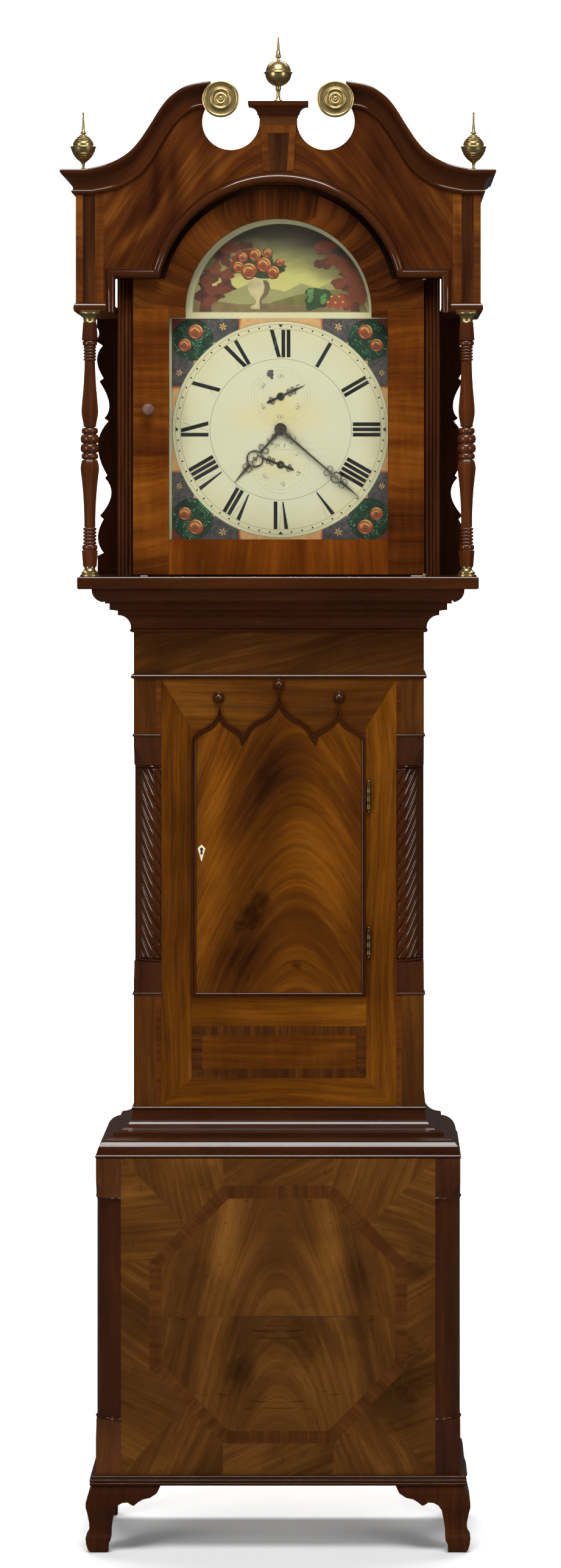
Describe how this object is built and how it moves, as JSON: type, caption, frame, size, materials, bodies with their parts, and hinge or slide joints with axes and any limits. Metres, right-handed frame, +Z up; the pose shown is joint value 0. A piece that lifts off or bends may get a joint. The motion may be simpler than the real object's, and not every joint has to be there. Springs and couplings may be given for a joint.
{
  "type": "longcase clock",
  "caption": "Thirty-hour longcase clock: sliding hood with swan-neck pediment and turned columns, arched painted dial, hinged trunk door, bracket-footed base, chain-driven movement.",
  "frame": {"origin": "on the floor, at the centre of the clock's bounding box in plan", "axes": "+Z up, +X to the viewer's right when facing the dial, +Y from the dial to the back"},
  "size_m": [0.696, 0.2951, 2.4212],
  "materials": {
    "mahogany": "french polish",
    "dark_mahogany": "french polish",
    "secondary_wood": "matt",
    "antique_brass": "antique, softly polished",
    "clock_brass": "satin",
    "steel": "polished, aged",
    "bell_metal": "satin",
    "painted_dial": "satin enamel paint",
    "glass": "clear",
    "bone": "polished bone",
    "cast_iron": "rough",
    "lead": "dull"
  },
  "bodies": {
    "case": {"backboard": "secondary_wood", "base_front_panel": "mahogany", "base_side_panels": "mahogany", "corner_blocks": "mahogany", "base_quarter_columns": "dark_mahogany", "plinth_moulding": "dark_mahogany", "bracket_feet": "dark_mahogany", "waist_moulding": "dark_mahogany", "trunk_front_frame": "mahogany", "trunk_side_panels": "mahogany", "trunk_quarter_columns": "dark_mahogany", "trunk_trim": "dark_mahogany", "throat_moulding": "dark_mahogany", "seat_board": "secondary_wood", "trunk_hinges": "antique_brass", "dial_plate": "painted_dial", "movement_frame": "clock_brass", "bell": "bell_metal", "chain": "steel"},
    "hood": {"hood_slab": "mahogany", "hood_carcass": "mahogany", "hood_pilasters": "dark_mahogany", "hood_wings": "dark_mahogany", "hood_frieze": "mahogany", "hood_side_friezes": "mahogany", "hood_mask": "secondary_wood", "arch_bead": "dark_mahogany", "cornice_moulding": "dark_mahogany", "pedestal": "dark_mahogany", "brass_roundels": "antique_brass", "brass_finials": "antique_brass", "hood_columns": "dark_mahogany", "column_brasses": "antique_brass"},
    "hood_door": {"hood_door_frame": "mahogany", "hood_door_glass": "glass", "hood_door_knob": "dark_mahogany", "hood_door_pivots": "antique_brass"},
    "trunk_door": {"trunk_door": "mahogany", "trunk_door_moulding": "dark_mahogany", "door_fittings": "antique_brass", "escutcheon": "bone"},
    "lock_bolt": {"lock_bolt": "steel"},
    "great_arbor": {"great_wheel": "clock_brass"},
    "second_arbor": {"second_wheel": "clock_brass"},
    "escape_arbor": {"escape_wheel": "clock_brass", "seconds_hand": "steel"},
    "minute_wheel": {"minute_wheel": "clock_brass"},
    "minute_hand": {"minute_hand": "steel"},
    "hour_hand": {"hour_hand": "steel"},
    "date_hand": {"date_hand": "steel"},
    "strike_great_arbor": {"strike_great_wheel": "clock_brass"},
    "pin_arbor": {"pin_wheel": "clock_brass"},
    "warning_arbor": {"warning_wheel": "clock_brass"},
    "fly_arbor": {"strike_fly": "clock_brass"},
    "hammer": {"hammer": "steel"},
    "pendulum": {"pendulum": "clock_brass"},
    "anchor": {"anchor": "steel"},
    "weight": {"driving_weight": "cast_iron"},
    "pulley": {"weight_pulley": "clock_brass"},
    "counterweight": {"chain_counterweight": "lead"}
  },
  "joints": [
    {"name": "hood_slide", "type": "slide", "parent": "case", "child": "hood", "axis": [0, -1, 0], "range_m": [0, 0.33]},
    {"name": "hood_door_hinge", "type": "hinge", "parent": "hood", "child": "hood_door", "pos_m": [0.2335, -0.1055, 1.8], "axis": [0, 0, 1], "range_deg": [0, 110]},
    {"name": "trunk_door_hinge", "type": "hinge", "parent": "case", "child": "trunk_door", "pos_m": [0.1445, -0.077, 1.08], "axis": [0, 0, 1], "range_deg": [0, 120]},
    {"name": "lock_bolt_slide", "type": "slide", "parent": "trunk_door", "child": "lock_bolt", "axis": [-1, 0, 0], "range_m": [0, 0.01]},
    {"name": "escape_arbor", "type": "hinge", "parent": "case", "child": "escape_arbor", "pos_m": [0.003, 0, 1.8456], "axis": [0, 1, 0], "continuous": true},
    {"name": "great_arbor", "type": "hinge", "parent": "case", "child": "great_arbor", "pos_m": [0.031, 0, 1.7706], "axis": [0, 1, 0], "continuous": true},
    {"name": "second_arbor", "type": "hinge", "parent": "case", "child": "second_arbor", "pos_m": [0.01749, 0, 1.82164], "axis": [0, 1, 0], "continuous": true},
    {"name": "minute_wheel_spin", "type": "hinge", "parent": "case", "child": "minute_wheel", "pos_m": [0.02802, 0, 1.79562], "axis": [0, 1, 0], "continuous": true},
    {"name": "minute_hand_spin", "type": "hinge", "parent": "case", "child": "minute_hand", "pos_m": [0.003, 0, 1.7926], "axis": [0, 1, 0], "continuous": true},
    {"name": "hour_hand_spin", "type": "hinge", "parent": "case", "child": "hour_hand", "pos_m": [0.003, 0, 1.7926], "axis": [0, 1, 0], "continuous": true},
    {"name": "date_hand_spin", "type": "hinge", "parent": "case", "child": "date_hand", "pos_m": [0.003, 0, 1.7356], "axis": [0, 1, 0], "continuous": true},
    {"name": "fly_arbor", "type": "hinge", "parent": "case", "child": "fly_arbor", "pos_m": [-0.04823, 0, 1.85624], "axis": [0, 1, 0], "continuous": true},
    {"name": "strike_great_arbor", "type": "hinge", "parent": "case", "child": "strike_great_arbor", "pos_m": [-0.033, 0, 1.7706], "axis": [0, 1, 0], "continuous": true},
    {"name": "pin_arbor", "type": "hinge", "parent": "case", "child": "pin_arbor", "pos_m": [-0.02466, 0, 1.81787], "axis": [0, 1, 0], "continuous": true},
    {"name": "warning_arbor", "type": "hinge", "parent": "case", "child": "warning_arbor", "pos_m": [-0.02953, 0, 1.84545], "axis": [0, 1, 0], "continuous": true},
    {"name": "hammer_pivot", "type": "hinge", "parent": "case", "child": "hammer", "pos_m": [-0.059, 0, 1.8326], "axis": [0, -1, 0], "range_deg": [0, 14], "stiffness_Nm_per_rad": 0.05, "springref_deg": -11.46},
    {"name": "pendulum_swing", "type": "hinge", "parent": "case", "child": "pendulum", "pos_m": [0.003, 0.055, 1.8736], "axis": [0, 1, 0], "range_deg": [-2.5, 2.5]},
    {"name": "anchor_rock", "type": "hinge", "parent": "case", "child": "anchor", "pos_m": [0.003, 0, 1.8736], "axis": [0, 1, 0], "range_deg": [-2.5, 2.5]},
    {"name": "weight_drop", "type": "slide", "parent": "case", "child": "weight", "axis": [0, 0, -1], "range_m": [-0.15, 0.52], "deforming": ["chain"]},
    {"name": "pulley_spin", "type": "hinge", "parent": "weight", "child": "pulley", "pos_m": [-0.001, 0.004, 1.3], "axis": [0, 1, 0], "range_deg": [-700, 1900]},
    {"name": "counterweight_rise", "type": "slide", "parent": "case", "child": "counterweight", "axis": [0, 0, 1], "range_m": [-0.15, 0.52], "deforming": ["chain"]}
  ],
  "couplings": [
    {"joint": "great_arbor", "follows": "escape_arbor", "ratio": 0.016667},
    {"joint": "second_arbor", "follows": "escape_arbor", "ratio": -0.16667},
    {"joint": "minute_wheel_spin", "follows": "escape_arbor", "ratio": -0.016667},
    {"joint": "minute_hand_spin", "follows": "escape_arbor", "ratio": 0.016667},
    {"joint": "hour_hand_spin", "follows": "escape_arbor", "ratio": 0.0013889},
    {"joint": "date_hand_spin", "follows": "escape_arbor", "ratio": 0.000022401},
    {"joint": "strike_great_arbor", "follows": "fly_arbor", "ratio": -0.0037037},
    {"joint": "pin_arbor", "follows": "fly_arbor", "ratio": 0.033333},
    {"joint": "warning_arbor", "follows": "fly_arbor", "ratio": -0.2},
    {"joint": "anchor_rock", "follows": "pendulum_swing", "ratio": 1},
    {"joint": "pulley_spin", "follows": "weight_drop", "rad_per_m": 58.824},
    {"joint": "counterweight_rise", "follows": "weight_drop", "ratio": 1}
  ]
}
